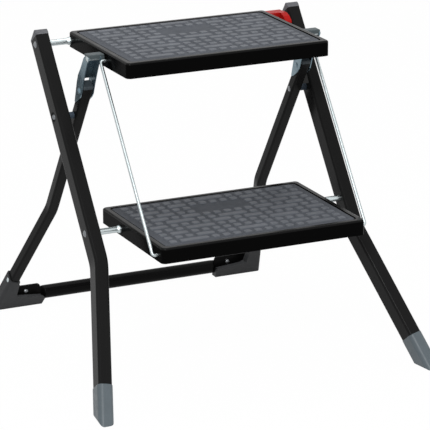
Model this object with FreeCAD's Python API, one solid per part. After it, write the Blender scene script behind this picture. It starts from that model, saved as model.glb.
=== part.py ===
import FreeCAD, Part
import math
import os

V = FreeCAD.Vector
os.makedirs("parts", exist_ok=True)

# Heights, leans and pivots of the open stool
PLATFORM_TOP = 470.0
FRONT_LEAN = 36.8
REAR_LEAN = 33.3
AXLE_Y = 85.7
AXLE_DROP = 13.0
AXLE_SPACING = 296.0
PIVOT_DOWN_LEG = 113.5
PIVOT_BEHIND_AXIS = 4.0
LINK_FROM_FRONT = 16.0
KNEE_FROM_PIVOT = 50.8
PLATFORM_PIN_AHEAD = 125.0
PLATFORM_PIN_UP = 3.5

# Treads: pressed steel trays with a sunk mat
TREAD_WIDTH = 317.0
TREAD_DEPTH = 218.0
SKIRT_HEIGHT = 22.5
SHEET = 1.2
TREAD_CORNER = 7.0
TREAD_EDGE = 3.0
LIP_WIDTH = 8.0
PLATFORM_BACK = 8.0
STEP_BACK = 69.5
RIM_WIDTH = 8.2
RECESS_DEPTH = 1.2
MAT_GAP = 0.8
MAT_THICK = 2.1
MAT_CORNER = 6.0
BRACE_WIDTH = 28.0
BRACE_HEIGHT = 12.0

# Sideways stack on each side, measured outward from the tread skirt
ROD_STANDOFF = 5.7
ROD_RADIUS = 2.3
ROD_TURN = 4.0
SKIRT_TO_BRACKET = 5.6
BRACKET_SHEET = 1.5
BRACKET_GAP = 0.4
REAR_TUBE = 16.0
SPACER_LENGTH = 11.0
SPACER_GAP = 0.3
FRONT_TUBE = 20.0
FRONT_TUBE_DEPTH = 30.0

# Tubes
TUBE_WALL = 1.2
FRONT_TUBE_CORNER = 4.0
REAR_TUBE_CORNER = 3.0
FRONT_BEND_Z = 181.7
FRONT_SPLAY = 13.2
REAR_BEND_Z = 190.0
REAR_SPLAY = 11.1
BEND_RADIUS = 90.0
FRONT_ABOVE_AXLE = 10.0
FRONT_BEHIND_AXLE = 1.2
REAR_ABOVE_KNEE = 9.0
FRONT_END_Z = 13.0
REAR_END_Z = 11.0

# Pins, rivets and sleeves
PIN_RADIUS = 3.0
RUNNING_GAP = 0.05
RIVET_HEAD = 5.0
RIVET_DOME = 2.4
SMALL_HEAD = 4.5
SMALL_DOME = 1.4
DIMPLE_RADIUS = 8.0
DIMPLE_FLOOR = 5.2
DIMPLE_DEPTH = 2.4
DIMPLE_DOME = 3.6
PIVOT_TAIL_GAP = 0.2
SLEEVE_RADIUS = 4.4
FLARE_RADIUS = 5.8
FLARE_DISC = 2.0
FLARE_CONE = 4.0
SPACER_RADIUS = 5.0
FACE_GAP = 0.3
CLIP_RADIUS = 4.5
CLIP_LENGTH = 3.4
CLIP_GAP = 0.5
ROD_END_PAST_CLIP = 0.8

# Leg plugs and feet
PLUG_OVERHANG = 0.2
PLUG_REAR_HEIGHT = 1.9
PLUG_RIDGE_HEIGHT = 9.4
PLUG_RIDGE_BACK = 4.5
PLUG_ROUND = 1.0
PLUG_STEM = 14.0
STEM_GAP = 0.2
REAR_PLUG_HEIGHT = 5.0
REAR_PLUG_ROUND = 2.6
FOOT_WALL = 1.5
FOOT_CORNER = 8.0
FOOT_LENGTH = 50.0
FOOT_ROUND = 0.8
SOLE_OUTER_ROUND = 6.5
SOLE_INNER_ROUND = 4.0
SOLE_MARGIN = 0.05
GROOVE_WIDTH = 2.2
GROOVE_HEIGHT = 2.4
GROOVE_PITCH = 6.5
GROOVE_COUNT = 4

# Rear crossbar: round tube with flattened ends, places sideways measured from the leg end
BAR_RADIUS = 10.4
BAR_BEFORE_HEEL = 6.1
BAR_Z = 16.8
FLAT_FROM_HEEL = 68.8
NECK_LENGTH = 7.0
NECK_INTO_FLAT = 1.0
FLAT_HALF_HEIGHT = 15.2
FLAT_HALF_THICK = 1.3
FLAT_CORNER = 5.0
FLAT_TO_HEEL = 5.6
NECK_POINTS = 24
NECK_STEPS = 6

# Rear shoes, arm outline as (inward of the leg end, up) on its leaning front face
SHOE_WALL = 2.5
SHOE_CORNER = 5.0
COLLAR_FRONT = 72.7
COLLAR_REAR = 77.6
RIM_FALL = 0.5
ARM_REAR = 1.0
ARM_OUTLINE = [(-3.4, 0.0), (69.0, 0.0), (72.2, 11.2), (68.8, 15.3), (27.0, 20.0),
               (21.8, 23.0), (21.8, 47.0), (13.0, 47.0)]
BAR_ROOM = 0.3
HEEL_TAB_FROM_HEEL = 22.6
HEEL_TAB_INSET = 12.0
HEEL_TAB_BASE = 8.0
HEEL_TAB_Z = 30.0
HEEL_RIVET_INSET = 23.4
HEEL_RIVET_Z = 21.6
HEEL_RIVET_RADIUS = 2.0
HEEL_HEAD = 3.4
COLLAR_RIVET_UP = 69.0
COLLAR_RIVET_AHEAD = 2.4
COLLAR_RIVET_RADIUS = 2.0
COLLAR_HEAD = 3.6
COLLAR_TAIL = 2.5
COLLAR_DOME = 1.2

# Knee bracket outline: (forward of the rear leg axis, up from the knee rivet)
BRACKET_REAR = [(-3.6, -28.4), (-9.0, -9.0), (-13.0, 4.5), (-15.4, 18.0),
                (-13.6, 32.0), (-13.2, 54.0), (-10.5, 61.5), (-5.5, 66.5)]
BRACKET_FRONT = [(0.6, 63.5), (0.6, 57.0), (2.2, 38.0), (5.0, 18.0), (8.5, 0.0),
                 (7.5, -6.6), (2.0, -20.0)]
WEB_FOOT = 10.5
BRACKET_EYE = 5.2
BRACKET_ROUND = 6.0
ROUNDED_UP_TO = 35.0
TAIL_ROUND = 2.0
BRACKET_OVERRUN = 20.0

# Plastic cap on the top end of each bracket
CAP_FRONT = 4.6
CAP_REAR = 11.0
CAP_BELOW = 0.0
CAP_ABOVE = 6.0
CAP_SKIN = 2.5
CAP_SIDE = 0.5
CAP_FIT = 0.05
CAP_POST_HALF = 3.2
BOSS_RADIUS = 4.0
CAP_ROUND = 1.7

# Lock lever on the top axle, right side only
LEVER_INNER = 2.4
LEVER_OUTER = 5.6
LEVER_HUB = 8.0
LEVER_BORE_GAP = 0.3
PAD_FRONT = 9.0
PAD_REAR = 11.0
PAD_BOTTOM = 4.0
PAD_TOP = 10.2
ARM_WIDTH = 10.0
LEVER_PROFILE = [(0.0, -7.0), (0.0, 10.2), (12.0, 10.2), (21.0, 7.0),
                 (28.5, 1.0), (29.5, -2.0), (26.0, -5.0), (18.0, -4.0)]
LEVER_ROUND = 1.5
STOP_RADIUS = 1.8
STOP_LENGTH = 11.0
STOP_FORWARD = 7.5
STOP_DOWN = 14.0

# Derived positions
lean = math.radians(FRONT_LEAN)
back_lean = math.radians(REAR_LEAN)
side = V(1, 0, 0)
down_front = V(0, -math.sin(lean), -math.cos(lean))
front_normal = V(0, -math.cos(lean), math.sin(lean))
up_rear = V(0, -math.sin(back_lean), math.cos(back_lean))
rear_normal = V(0, -math.cos(back_lean), -math.sin(back_lean))
top_axle_at = V(0, AXLE_Y, PLATFORM_TOP - AXLE_DROP)
low_axle_at = top_axle_at + down_front * AXLE_SPACING
pivot_at = top_axle_at + down_front * PIVOT_DOWN_LEG - front_normal * PIVOT_BEHIND_AXIS
knee_at = pivot_at + up_rear * KNEE_FROM_PIVOT
platform_pin_at = top_axle_at + V(0, -PLATFORM_PIN_AHEAD, PLATFORM_PIN_UP)
link_arm = TREAD_DEPTH - STEP_BACK - LINK_FROM_FRONT
upper_link_at = top_axle_at + V(0, -link_arm, 0)
lower_link_at = low_axle_at + V(0, -link_arm, 0)
heel_y = pivot_at.y + pivot_at.z * math.tan(back_lean)
step_top = PLATFORM_TOP - AXLE_SPACING * math.cos(lean)

skirt_x = TREAD_WIDTH / 2
rod_x = skirt_x + ROD_STANDOFF + ROD_RADIUS
bracket_x0 = skirt_x + SKIRT_TO_BRACKET
bracket_x1 = bracket_x0 + BRACKET_SHEET
rear_x0 = bracket_x1 + BRACKET_GAP
rear_x1 = rear_x0 + REAR_TUBE
bracket_x2 = rear_x1 + BRACKET_GAP
bracket_x3 = bracket_x2 + BRACKET_SHEET
front_x0 = rear_x1 + SPACER_GAP + SPACER_LENGTH
front_x1 = front_x0 + FRONT_TUBE
rear_x = rear_x0 + REAR_TUBE / 2
front_x = front_x0 + FRONT_TUBE / 2


def at_x(point, x):
    return V(x, point.y, point.z)


def rounded_rectangle(centre, across, along, width, height, corner):
    """Closed wire of a rectangle with rounded corners in the plane of two unit vectors."""
    hw = width / 2
    hh = height / 2
    inner_w = hw - corner
    inner_h = hh - corner
    diagonal = corner * math.sqrt(0.5)

    def place(a, b):
        return centre + across * a + along * b

    edges = []
    for sx, sy in ((1, 1), (-1, 1), (-1, -1), (1, -1)):
        middle = place(sx * (inner_w + diagonal), sy * (inner_h + diagonal))
        upright = place(sx * hw, sy * inner_h)
        level = place(sx * inner_w, sy * hh)
        start, end = (upright, level) if sx * sy > 0 else (level, upright)
        edges.append((start, middle, end))
    parts = []
    for index, (start, middle, end) in enumerate(edges):
        parts.append(Part.Arc(start, middle, end).toShape())
        following = edges[(index + 1) % len(edges)][0]
        parts.append(Part.makeLine(end, following))
    return Part.Wire(parts)


def prism(points, direction):
    wire = Part.makePolygon(points + [points[0]])
    return Part.Face(wire).extrude(direction)


def rod(start, end, radius):
    along = end - start
    return Part.makeCylinder(radius, along.Length, start, along)


def dome(base, direction, radius, height):
    """Rivet head: a slice of a ball standing on a flat base."""
    across = direction.cross(V(0, 0, 1)).normalize() if abs(direction.z) < 0.9 else side
    ball = (radius * radius + height * height) / (2 * height)
    half_turn = math.asin(radius / ball) / 2
    centre = base - direction * (ball - height)
    rim = base + across * radius
    shoulder = centre + direction * (ball * math.cos(half_turn)) + across * (
        ball * math.sin(half_turn))
    crown = base + direction * height
    outline = Part.Wire([Part.makeLine(base, rim), Part.Arc(rim, shoulder, crown).toShape(),
                         Part.makeLine(crown, base)])
    return Part.Face(outline).revolve(base, direction, 360)


def round_edges(shape, radius, chosen):
    edges = [edge for edge in shape.Edges if chosen(edge)]
    return shape.makeFillet(radius, edges)


def runs_along(edge, axis):
    if len(edge.Vertexes) < 2:
        return False
    span = edge.Vertexes[1].Point - edge.Vertexes[0].Point
    return span.Length > 0 and abs(span.normalize().dot(axis)) > 0.999


def bent_spine(start, knee, end):
    """Line, arc of the bend radius, line."""
    before = (knee - start).normalize()
    after = (end - knee).normalize()
    half = before.getAngle(after) / 2
    setback = BEND_RADIUS * math.tan(half)
    inward = (after - before).normalize()
    entry = knee - before * setback
    leave = knee + after * setback
    crown = knee + inward * (BEND_RADIUS / math.cos(half) - BEND_RADIUS)
    return Part.Wire([Part.makeLine(start, entry),
                      Part.Arc(entry, crown, leave).toShape(),
                      Part.makeLine(leave, end)])


def swept(spine, profile):
    solid = spine.makePipeShell([profile], True, False)
    if solid.Volume < 0:
        solid.reverse()
    return solid


def leg_pair(start, bend_z, end_z, down, normal, splay, width, depth, corner):
    """Outer and inner bodies of a bent leg on the right side."""
    knee = start + down * ((start.z - bend_z) / -down.z)
    slanted = down * math.cos(splay) + side * math.sin(splay)
    end = knee + slanted * ((bend_z - end_z) / -slanted.z)
    spine = bent_spine(start, knee, end)
    outer = swept(spine, rounded_rectangle(start, side, normal, width, depth, corner))
    inner = swept(spine, rounded_rectangle(start, side, normal, width - 2 * TUBE_WALL,
                                           depth - 2 * TUBE_WALL, corner - TUBE_WALL))
    return outer, inner, slanted, end


def box(x0, x1, y0, y1, z0, z1):
    return Part.makeBox(x1 - x0, y1 - y0, z1 - z0, V(x0, y0, z0))


def mirrored(shape):
    return shape.mirror(V(0, 0, 0), side)


def save(name, shape):
    solid = shape.removeSplitter()
    if len(solid.Solids) == 1:
        solid = solid.Solids[0]
    print(f"{name:24s} solids {len(solid.Solids)} valid {solid.isValid()} "
          f"volume {solid.Volume:10.1f}")
    solid.exportStep(f"parts/{name}.step")


def save_both(name, right):
    save(f"{name}_right", right)
    save(f"{name}_left", mirrored(right))


# Front legs
front_splay = math.radians(FRONT_SPLAY)
front_top = at_x(top_axle_at - down_front * FRONT_ABOVE_AXLE
                 - front_normal * FRONT_BEHIND_AXLE, front_x)
front_outer, front_inner, front_slant, front_end = leg_pair(
    front_top, FRONT_BEND_Z, FRONT_END_Z, down_front, front_normal, front_splay,
    FRONT_TUBE, FRONT_TUBE_DEPTH, FRONT_TUBE_CORNER)
front_pressed = front_outer.cut(Part.makeCone(
    DIMPLE_RADIUS, DIMPLE_FLOOR, DIMPLE_DEPTH, at_x(pivot_at, front_x1), -side))
front_hollow = front_inner.cut(Part.makeCone(
    DIMPLE_RADIUS + TUBE_WALL, DIMPLE_FLOOR + TUBE_WALL, DIMPLE_DEPTH,
    at_x(pivot_at, front_x1 - TUBE_WALL), -side))
front_leg = front_pressed.cut(front_hollow)
for hole_at in (top_axle_at, low_axle_at, pivot_at):
    front_leg = front_leg.cut(rod(at_x(hole_at, front_x0 - FACE_GAP),
                                  at_x(hole_at, front_x1 + FACE_GAP), PIN_RADIUS))
save_both("front_leg", front_leg)

# Wedge plugs in the top ends of the front legs
plug_half = FRONT_TUBE_DEPTH / 2 + PLUG_OVERHANG
plug_outline = [(-plug_half, 0), (-plug_half, PLUG_REAR_HEIGHT),
                (plug_half - PLUG_RIDGE_BACK, PLUG_RIDGE_HEIGHT), (plug_half, 0)]
plug_side = front_x0 - PLUG_OVERHANG
plug_points = [at_x(front_top + front_normal * n - down_front * t, plug_side)
               for n, t in plug_outline]
front_plug = prism(plug_points, side * (FRONT_TUBE + 2 * PLUG_OVERHANG))
front_plug = round_edges(front_plug, PLUG_ROUND,
                         lambda e: e.CenterOfMass.sub(front_top).dot(down_front) < -PLUG_ROUND / 2)
plug_block = Part.Face(rounded_rectangle(
    front_top, side, front_normal,
    FRONT_TUBE + 2 * PLUG_OVERHANG,
    FRONT_TUBE_DEPTH + 2 * PLUG_OVERHANG,
    FRONT_TUBE_CORNER + PLUG_OVERHANG)).extrude(down_front * -PLUG_STEM)
front_plug = front_plug.common(plug_block)
stem = Part.Face(rounded_rectangle(
    front_top, side, front_normal,
    FRONT_TUBE - 2 * TUBE_WALL - 2 * STEM_GAP,
    FRONT_TUBE_DEPTH - 2 * TUBE_WALL - 2 * STEM_GAP,
    FRONT_TUBE_CORNER - TUBE_WALL - STEM_GAP)).extrude(down_front * PLUG_STEM)
axle_bore = rod(at_x(top_axle_at, front_x0), at_x(top_axle_at, front_x1), PIN_RADIUS)
save_both("front_leg_plug", front_plug.fuse(stem).cut(axle_bore))

# Front feet: sleeves over the leg ends, cut flat by the floor
foot_across = side * math.cos(front_splay) - down_front * math.sin(front_splay)
foot_floor = front_end + front_slant * (front_end.z / -front_slant.z)
foot_wire = rounded_rectangle(foot_floor - front_slant * FOOT_LENGTH, foot_across, front_normal,
                              FRONT_TUBE + 2 * FOOT_WALL, FRONT_TUBE_DEPTH + 2 * FOOT_WALL,
                              FOOT_CORNER)
front_foot = Part.Face(foot_wire).extrude(front_slant * (FOOT_LENGTH * 1.5))
rim_level = (foot_floor - front_slant * FOOT_LENGTH).dot(front_slant)
front_foot = round_edges(front_foot, FOOT_ROUND,
                         lambda e: abs(e.CenterOfMass.dot(front_slant) - rim_level) < 0.01)
under_floor = box(-2 * front_x, 2 * front_x, -2 * TREAD_WIDTH, 2 * TREAD_WIDTH,
                  -2 * FOOT_LENGTH, 0)
sole_out = V(foot_across.x, foot_across.y, 0).normalize()
sole_along = V(-sole_out.y, sole_out.x, 0)
sole_half = (FRONT_TUBE / 2 + FOOT_WALL + SOLE_MARGIN) / sole_out.dot(foot_across)
sole_lean = foot_across.z / sole_out.dot(foot_across)
sole_points = [foot_floor + sole_out * (w * sole_half - z * sole_lean) + V(0, 0, z)
               - sole_along * FOOT_LENGTH
               for w, z in ((-1, 0), (1, 0), (1, 2 * FOOT_LENGTH), (-1, 2 * FOOT_LENGTH))]
sole_block = prism(sole_points, sole_along * (2 * FOOT_LENGTH))
for w, radius in ((1, SOLE_OUTER_ROUND), (-1, SOLE_INNER_ROUND)):
    edge_at = foot_floor + sole_out * (w * sole_half)
    sole_block = round_edges(sole_block, radius,
                             lambda e: (e.CenterOfMass - edge_at).Length < SOLE_MARGIN)
front_foot = front_foot.common(sole_block).cut(under_floor).cut(front_outer)
for number in range(GROOVE_COUNT):
    groove_y = foot_floor.y + GROOVE_PITCH * (number - (GROOVE_COUNT - 1) / 2) - GROOVE_WIDTH / 2
    front_foot = front_foot.cut(box(front_x0, 2 * front_x, groove_y, groove_y + GROOVE_WIDTH,
                                    0, GROOVE_HEIGHT))
save_both("front_foot", front_foot)


# Axles with riveted ends, and the sleeves beside the treads
def axle(centre):
    shaft = rod(at_x(centre, -front_x1), at_x(centre, front_x1), PIN_RADIUS)
    right_head = dome(at_x(centre, front_x1), side, RIVET_HEAD, RIVET_DOME)
    return shaft.fuse([right_head, mirrored(right_head)])


def sleeve(centre):
    start = skirt_x + FACE_GAP
    disc = rod(at_x(centre, start), at_x(centre, start + FLARE_DISC), FLARE_RADIUS)
    cone = Part.makeCone(FLARE_RADIUS, SLEEVE_RADIUS, FLARE_CONE,
                         at_x(centre, start + FLARE_DISC), side)
    pipe = rod(at_x(centre, start), at_x(centre, front_x0), SLEEVE_RADIUS)
    bore = rod(at_x(centre, start - FACE_GAP), at_x(centre, front_x0 + FACE_GAP),
               PIN_RADIUS + RUNNING_GAP)
    return pipe.fuse([disc, cone]).cut(bore)


save("top_axle", axle(top_axle_at))
save("lower_axle", axle(low_axle_at))
save_both("top_sleeve", sleeve(top_axle_at))
save_both("lower_sleeve", sleeve(low_axle_at))

# Crossing pivots of the front and rear legs
dimple_x = front_x1 - DIMPLE_DEPTH
pivot_inner_x = rear_x0 - PIVOT_TAIL_GAP
pivot_pin = rod(at_x(pivot_at, pivot_inner_x), at_x(pivot_at, dimple_x), PIN_RADIUS)
pivot_pin = pivot_pin.fuse([dome(at_x(pivot_at, dimple_x), side, SMALL_HEAD, DIMPLE_DOME),
                            dome(at_x(pivot_at, pivot_inner_x), -side, SMALL_HEAD, SMALL_DOME)])
save_both("pivot_pin", pivot_pin)
spacer_x0 = rear_x1 + SPACER_GAP
pivot_spacer = rod(at_x(pivot_at, spacer_x0), at_x(pivot_at, front_x0), SPACER_RADIUS)
pivot_spacer = pivot_spacer.cut(rod(at_x(pivot_at, spacer_x0 - FACE_GAP),
                                    at_x(pivot_at, front_x0 + FACE_GAP), PIN_RADIUS))
save_both("pivot_spacer", pivot_spacer)

# Rear legs
rear_splay = math.radians(REAR_SPLAY)
rear_top = at_x(knee_at + up_rear * REAR_ABOVE_KNEE, rear_x)
rear_outer, rear_inner, rear_slant, rear_end = leg_pair(
    rear_top, REAR_BEND_Z, REAR_END_Z, -up_rear, rear_normal, rear_splay,
    REAR_TUBE, REAR_TUBE, REAR_TUBE_CORNER)
rear_leg = rear_outer.cut(rear_inner)
for hole_at in (knee_at, pivot_at):
    rear_leg = rear_leg.cut(rod(at_x(hole_at, rear_x0 - FACE_GAP),
                                at_x(hole_at, rear_x1 + FACE_GAP), PIN_RADIUS + RUNNING_GAP))

# Domed plugs in the top ends of the rear legs
rear_plug = Part.Face(rounded_rectangle(rear_top, side, rear_normal, REAR_TUBE, REAR_TUBE,
                                        REAR_TUBE_CORNER)).extrude(up_rear * REAR_PLUG_HEIGHT)
crown_level = (rear_top + up_rear * REAR_PLUG_HEIGHT).dot(up_rear)
rear_plug = round_edges(rear_plug, REAR_PLUG_ROUND,
                        lambda e: abs(e.CenterOfMass.dot(up_rear) - crown_level) < 0.01)
rear_stem_size = REAR_TUBE - 2 * TUBE_WALL - 2 * STEM_GAP
rear_stem = Part.Face(rounded_rectangle(
    rear_top, side, rear_normal, rear_stem_size, rear_stem_size,
    REAR_TUBE_CORNER - TUBE_WALL - STEM_GAP)).extrude(up_rear * -PLUG_STEM)
knee_bore = rod(at_x(knee_at, rear_x0), at_x(knee_at, rear_x1), PIN_RADIUS + RUNNING_GAP)
save_both("rear_leg_plug", rear_plug.fuse(rear_stem).cut(knee_bore))

# Rear crossbar: a round tube with flattened ends
shoe_across = side * math.cos(rear_splay) + up_rear * math.sin(rear_splay)
shoe_floor = rear_end + rear_slant * (rear_end.z / -rear_slant.z)
bar_at = V(0, heel_y - BAR_BEFORE_HEEL, BAR_Z)
flat_x0 = shoe_floor.x - FLAT_FROM_HEEL
flat_x1 = shoe_floor.x - FLAT_TO_HEEL
neck_x0 = flat_x0 - NECK_LENGTH
neck_x1 = flat_x0 + NECK_INTO_FLAT


def bar_section(x, flattened):
    """Oval across the bar: round at 0, pressed thin at 1."""
    eased = flattened * flattened * (3 - 2 * flattened)
    half_thick = BAR_RADIUS + (FLAT_HALF_THICK - BAR_RADIUS) * eased
    points = []
    for index in range(NECK_POINTS):
        turn = 2 * math.pi * index / NECK_POINTS
        points.append(V(x, bar_at.y + half_thick * math.cos(turn),
                        bar_at.z + BAR_RADIUS * math.sin(turn)))
    curve = Part.BSplineCurve()
    curve.interpolate(points, True)
    return Part.Wire([curve.toShape()])


bar_sections = [bar_section(0, 0)]
for number in range(NECK_STEPS + 1):
    pressed = number / NECK_STEPS
    bar_sections.append(bar_section(neck_x0 + (neck_x1 - neck_x0) * pressed, pressed))
bar_body = Part.makeLoft(bar_sections, True, True)
bar_flat = box(flat_x0, flat_x1, bar_at.y - FLAT_HALF_THICK,
               bar_at.y + FLAT_HALF_THICK, bar_at.z - FLAT_HALF_HEIGHT,
               bar_at.z + FLAT_HALF_HEIGHT)
bar_flat = round_edges(bar_flat, FLAT_CORNER, lambda e: runs_along(e, V(0, 1, 0)))
half_bar = bar_body.fuse(bar_flat).cut(rear_outer)
heel_rivet_at = V(flat_x0 + HEEL_RIVET_INSET, bar_at.y, HEEL_RIVET_Z)
heel_axis = V(0, 1, 0)
heel_bore = Part.makeCylinder(HEEL_RIVET_RADIUS, 2 * BAR_RADIUS,
                              heel_rivet_at - heel_axis * BAR_RADIUS, heel_axis)
half_bar = half_bar.cut(heel_bore)
half_bar = half_bar.cut(rod(bar_at, at_x(bar_at, neck_x0), BAR_RADIUS - TUBE_WALL))
crossbar = half_bar.fuse(mirrored(half_bar))
save("rear_crossbar", crossbar)

# Rear shoes: a collar round the leg end and an arm under the crossbar end
collar_size = REAR_TUBE + 2 * SHOE_WALL
collar_up = COLLAR_REAR / math.cos(rear_splay)
collar_top = shoe_floor - rear_slant * collar_up
collar = Part.Face(rounded_rectangle(collar_top, shoe_across, rear_normal,
                                     collar_size, collar_size, SHOE_CORNER))
collar = collar.extrude(rear_slant * (collar_up * 1.5))
rim_front = (COLLAR_FRONT - COLLAR_REAR) / collar_size
heel_at = V(0, heel_y, 0)
collar_half = collar_size / 2
rim_side = collar_top + shoe_across * collar_half
above_rim = []
for n, s in ((-collar_size, COLLAR_REAR), (-collar_half, COLLAR_REAR),
             (collar_half, COLLAR_FRONT), (collar_size, COLLAR_FRONT + rim_front),
             (collar_size, 2 * COLLAR_REAR), (-collar_size, 2 * COLLAR_REAR)):
    above_rim.append(at_x(heel_at + rear_normal * n + up_rear * s, rim_side.x))
rim_run = side + up_rear * RIM_FALL
above_rim = [point - rim_run * (3 * collar_size) for point in above_rim]
collar = collar.cut(prism(above_rim, rim_run * (6 * collar_size)))
arm_front_y = heel_y - collar_half / math.cos(back_lean)
arm_points = [V(shoe_floor.x - inward, arm_front_y - z * math.tan(back_lean), z)
              for inward, z in ARM_OUTLINE]
arm = prism(arm_points, V(0, heel_y + ARM_REAR - arm_front_y, 0))
heel_tab = box(flat_x0 + HEEL_TAB_INSET, shoe_floor.x - HEEL_TAB_FROM_HEEL,
               bar_at.y + FLAT_HALF_THICK, heel_y + ARM_REAR, HEEL_TAB_BASE, HEEL_TAB_Z)
heel_base = box(flat_x0 + HEEL_TAB_INSET, shoe_floor.x, arm_front_y, heel_y + ARM_REAR,
                0, 2 * HEEL_TAB_BASE)
neck_room = rod(at_x(bar_at, neck_x0), at_x(bar_at, flat_x0 + NECK_INTO_FLAT),
                BAR_RADIUS + BAR_ROOM)
shoe = collar.fuse([arm, heel_tab, heel_base]).cut(under_floor).cut(rear_outer).cut(heel_bore)
shoe = shoe.cut(bar_flat).cut(neck_room)

# Rivet through the collar and the leg wall, and rivet through the flattened bar end
collar_rivet_at = (shoe_floor - rear_slant * COLLAR_RIVET_UP
                   + rear_normal * COLLAR_RIVET_AHEAD)
collar_face = collar_rivet_at + shoe_across * collar_half
wall_inside = collar_rivet_at + shoe_across * (REAR_TUBE / 2 - TUBE_WALL)
collar_shaft = rod(wall_inside, collar_face, COLLAR_RIVET_RADIUS)
collar_rivet = collar_shaft.fuse([dome(collar_face, shoe_across, COLLAR_HEAD, COLLAR_DOME),
                                  dome(wall_inside, -shoe_across, COLLAR_TAIL, COLLAR_DOME)])
save_both("rear_shoe", shoe.cut(collar_shaft))
save_both("rear_leg", rear_leg.cut(collar_shaft))
save_both("collar_rivet", collar_rivet)
heel_front_y = bar_at.y - FLAT_HALF_THICK
heel_rear_y = heel_y + ARM_REAR
heel_start = V(heel_rivet_at.x, heel_front_y, HEEL_RIVET_Z)
heel_stop = V(heel_rivet_at.x, heel_rear_y, HEEL_RIVET_Z)
heel_rivet = rod(heel_start, heel_stop, HEEL_RIVET_RADIUS)
heel_rivet = heel_rivet.fuse([dome(heel_start, -heel_axis, HEEL_HEAD, COLLAR_DOME),
                              dome(heel_stop, heel_axis, HEEL_HEAD, COLLAR_DOME)])
save_both("heel_rivet", heel_rivet)


# Treads
def tread_tray(back_y, top_z, axle_at, link_at):
    front_y = back_y - TREAD_DEPTH
    outer = box(-skirt_x, skirt_x, front_y, back_y, top_z - SKIRT_HEIGHT, top_z)
    outer = round_edges(outer, TREAD_CORNER, lambda e: runs_along(e, V(0, 0, 1)))
    outer = round_edges(outer, TREAD_EDGE, lambda e: abs(e.BoundBox.ZMin - top_z) < 0.01)
    inner_x = skirt_x - SHEET
    cavity = box(-inner_x, inner_x, front_y + SHEET, back_y - SHEET,
                 top_z - SKIRT_HEIGHT + SHEET, top_z - RECESS_DEPTH - SHEET)
    cavity = round_edges(cavity, TREAD_CORNER - SHEET, lambda e: runs_along(e, V(0, 0, 1)))
    lip = SHEET + LIP_WIDTH
    mouth = box(-skirt_x + lip, skirt_x - lip, front_y + lip, back_y - lip,
                top_z - 2 * SKIRT_HEIGHT, top_z - SKIRT_HEIGHT / 2)
    recess = box(-skirt_x + RIM_WIDTH, skirt_x - RIM_WIDTH, front_y + RIM_WIDTH,
                 back_y - RIM_WIDTH, top_z - RECESS_DEPTH, top_z + RECESS_DEPTH)
    recess = round_edges(recess, MAT_CORNER + MAT_GAP, lambda e: runs_along(e, V(0, 0, 1)))
    tray = outer.cut(cavity).cut(mouth).cut(recess)
    tray = tray.cut(rod(at_x(axle_at, -skirt_x), at_x(axle_at, skirt_x),
                        PIN_RADIUS + RUNNING_GAP))
    return tray.cut(rod(at_x(link_at, -skirt_x), at_x(link_at, skirt_x),
                        ROD_RADIUS + RUNNING_GAP))


def tread_mat(back_y, top_z):
    edge = RIM_WIDTH + MAT_GAP
    base_z = top_z - RECESS_DEPTH
    mat = box(-skirt_x + edge, skirt_x - edge, back_y - TREAD_DEPTH + edge, back_y - edge,
              base_z, base_z + MAT_THICK)
    return round_edges(mat, MAT_CORNER, lambda e: runs_along(e, V(0, 0, 1)))


def tread_brace(back_y, top_z):
    roof_z = top_z - RECESS_DEPTH - SHEET
    rear_y = back_y - TREAD_DEPTH / 2 + BRACE_WIDTH / 2
    half = skirt_x - SHEET
    channel = box(-half, half, rear_y - BRACE_WIDTH, rear_y, roof_z - BRACE_HEIGHT, roof_z)
    return channel.cut(box(-skirt_x, skirt_x, rear_y - BRACE_WIDTH + SHEET, rear_y - SHEET,
                           roof_z - BRACE_HEIGHT + SHEET, top_z))


for tread, axle_at, link_at, behind, top in (
        ("platform", top_axle_at, upper_link_at, PLATFORM_BACK, PLATFORM_TOP),
        ("step", low_axle_at, lower_link_at, STEP_BACK, step_top)):
    tread_back = axle_at.y + behind
    save(f"{tread}_tray", tread_tray(tread_back, top, axle_at, link_at))
    save(f"{tread}_mat", tread_mat(tread_back, top))
    save(f"{tread}_brace", tread_brace(tread_back, top))

# Link rods: straight wire turned into both skirts
rod_tail_x = skirt_x - SHEET - CLIP_GAP - CLIP_LENGTH - ROD_END_PAST_CLIP
turn_x = rod_x - ROD_TURN
middle_turn = ROD_TURN * math.sqrt(0.5)


def rod_turn(centre, along):
    """Tail through the skirt and the quarter turn into the straight run."""
    turn_start = at_x(centre, turn_x)
    crown = at_x(centre, turn_x + middle_turn) + along * (ROD_TURN - middle_turn)
    run_start = at_x(centre, rod_x) + along * ROD_TURN
    return [Part.makeLine(at_x(centre, rod_tail_x), turn_start),
            Part.Arc(turn_start, crown, run_start).toShape()], run_start


upper_turn, run_top = rod_turn(upper_link_at, down_front)
lower_turn, run_bottom = rod_turn(lower_link_at, -down_front)
spine = Part.Wire(upper_turn + [Part.makeLine(run_top, run_bottom)] + lower_turn[::-1])
start_circle = Part.Wire([Part.makeCircle(ROD_RADIUS, at_x(upper_link_at, rod_tail_x), side)])
link_rod = swept(spine, start_circle)
save_both("link_rod", link_rod)
clip_x1 = skirt_x - SHEET - CLIP_GAP
for place_name, link_at in (("upper", upper_link_at), ("lower", lower_link_at)):
    clip = rod(at_x(link_at, clip_x1 - CLIP_LENGTH), at_x(link_at, clip_x1), CLIP_RADIUS)
    clip = clip.cut(rod(at_x(link_at, clip_x1 - 2 * CLIP_LENGTH),
                        at_x(link_at, clip_x1 + CLIP_GAP), ROD_RADIUS))
    save_both(f"link_clip_{place_name}", clip)


# Knee brackets: channels open to the front
def knee_point(forward, up):
    return at_x(knee_at + rear_normal * forward + up_rear * up, bracket_x0)


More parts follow.
